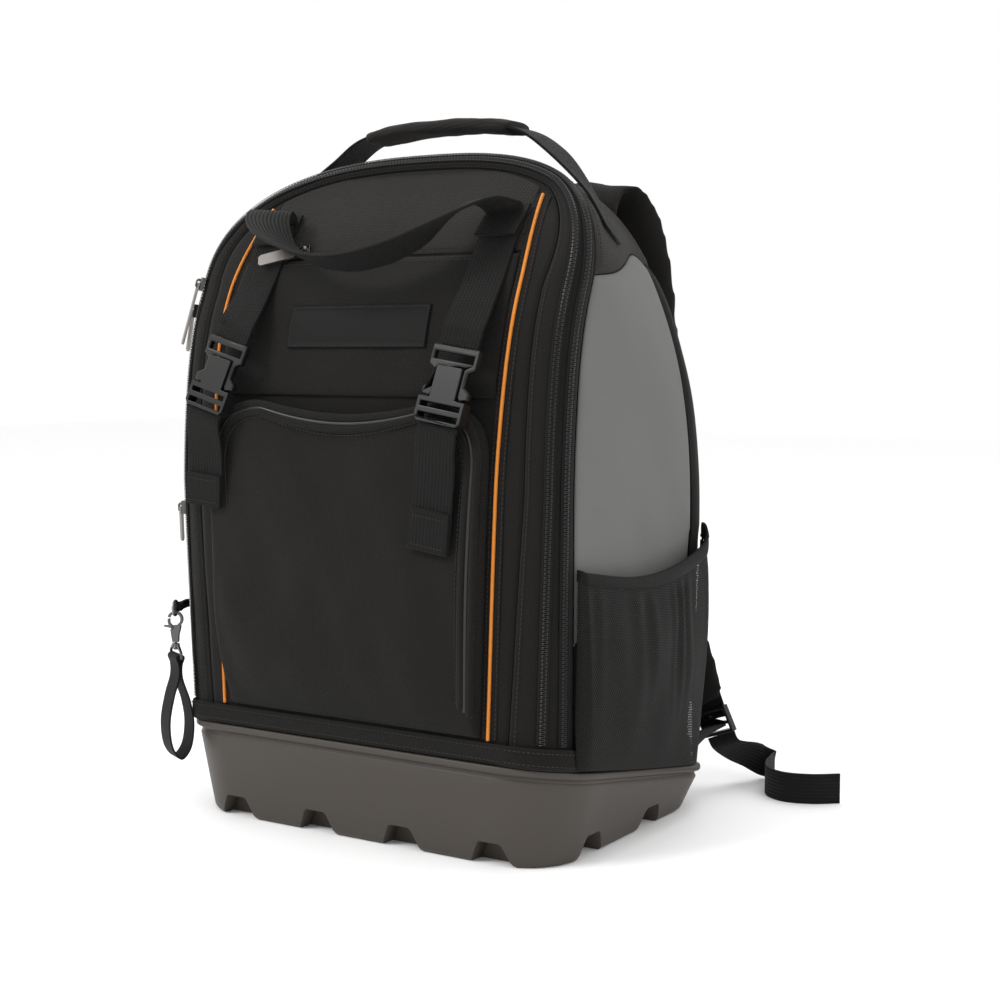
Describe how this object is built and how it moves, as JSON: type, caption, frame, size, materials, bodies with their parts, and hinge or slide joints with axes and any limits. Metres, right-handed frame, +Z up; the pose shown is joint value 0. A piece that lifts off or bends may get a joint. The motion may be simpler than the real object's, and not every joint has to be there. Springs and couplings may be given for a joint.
{
  "type": "tool backpack",
  "caption": "Hollow cloth tool backpack on a moulded boot, with arched top, zipped front edge, front pocket, buckled straps, carry loop, side pockets, padded shoulder straps and a wrist loop.",
  "frame": {"origin": "on the floor under the middle of the moulded boot", "axes": "+Z up, the front with its pocket faces -Y, the shoulder straps are towards +Y"},
  "size_m": [0.553, 0.3887, 0.566],
  "materials": {
    "boot_rubber": "satin, warm gray-brown",
    "black_cloth": "coarse black woven cloth",
    "top_cloth": "charcoal cloth with a slanted weave",
    "gray_cloth": "plain gray cloth",
    "net_cloth": "fine black net",
    "webbing": "ribbed black webbing",
    "orange_cord": "orange piping",
    "buckle_plastic": "satin black",
    "pull_metal": "dull nickel",
    "dark_metal": "gunmetal",
    "patch_rubber": "bare matte patch"
  },
  "bodies": {
    "pack": {"moulded_base": "boot_rubber", "front_panel": "black_cloth", "back_panel": "black_cloth", "zip_gusset": "black_cloth", "side_panel_right": "gray_cloth", "rear_side_panel_right": "black_cloth", "side_panel_left": "gray_cloth", "rear_side_panel_left": "black_cloth", "top_panel": "top_cloth", "stitched_band": "black_cloth", "main_zip_front": "webbing", "main_zip_rear": "webbing", "piping_right": "orange_cord", "piping_left": "orange_cord", "front_pocket": "black_cloth", "upper_pocket": "black_cloth", "name_patch": "patch_rubber", "front_pocket_zip": "webbing", "buckle_plug_right": "buckle_plastic", "buckle_socket_right": "buckle_plastic", "front_strap_right": "webbing", "strap_tail_right": "webbing", "buckle_plug_left": "buckle_plastic", "buckle_socket_left": "buckle_plastic", "front_strap_left": "webbing", "strap_tail_left": "webbing", "carry_loop": "webbing", "side_pocket_right": "net_cloth", "pocket_binding_right": "webbing", "side_pocket_left": "net_cloth", "pocket_binding_left": "webbing", "grab_handle": "webbing", "handle_grip": "top_cloth", "shoulder_strap_right": "top_cloth", "ladder_lock_right": "buckle_plastic", "corner_tab_right": "webbing", "strap_adjuster_tail_right": "webbing", "shoulder_strap_left": "top_cloth", "ladder_lock_left": "buckle_plastic", "corner_tab_left": "webbing", "strap_adjuster_tail_left": "webbing", "back_pad_right": "net_cloth", "back_pad_left": "net_cloth", "lumbar_pad": "net_cloth", "flap_slider": "dark_metal", "upper_zip_slider": "dark_metal", "lower_zip_slider": "dark_metal", "side_zip_slider": "dark_metal", "hook_tab": "webbing", "hook_ring": "pull_metal", "snap_hook": "dark_metal", "swivel_eye": "dark_metal", "wrist_loop": "webbing"},
    "flap_pull_tab": {"flap_pull": "pull_metal"},
    "upper_pull_tab": {"upper_zip_pull": "pull_metal"},
    "lower_pull_tab": {"lower_zip_pull": "pull_metal"},
    "side_pull_tab": {"side_zip_pull": "pull_metal"},
    "hook_gate": {"snap_hook_gate": "dark_metal"}
  },
  "joints": [
    {"name": "flap_pull_hinge", "type": "hinge", "parent": "pack", "child": "flap_pull_tab", "pos_m": [-0.074, -0.0984, 0.46001], "axis": [-0.3768, 0.4973, 0.7814], "range_deg": [0, 45]},
    {"name": "upper_pull_hinge", "type": "hinge", "parent": "pack", "child": "upper_pull_tab", "pos_m": [-0.1776, -0.1068, 0.43568], "axis": [-0.7784, 0.6278, 0], "range_deg": [0, 150]},
    {"name": "lower_pull_hinge", "type": "hinge", "parent": "pack", "child": "lower_pull_tab", "pos_m": [-0.18713, -0.1032, 0.41355], "axis": [-0.4248, 0.9053, 0], "range_deg": [0, 150]},
    {"name": "side_pull_hinge", "type": "hinge", "parent": "pack", "child": "side_pull_tab", "pos_m": [-0.18667, -0.12185, 0.25118], "axis": [-0.4265, 0.9045, 0], "range_deg": [0, 150]},
    {"name": "gate_hinge", "type": "hinge", "parent": "pack", "child": "hook_gate", "pos_m": [-0.17966, -0.14216, 0.1542], "axis": [-0.3998, 0.9166, 0], "range_deg": [0, 22], "stiffness_Nm_per_rad": 0.005, "springref_deg": -20.05}
  ]
}
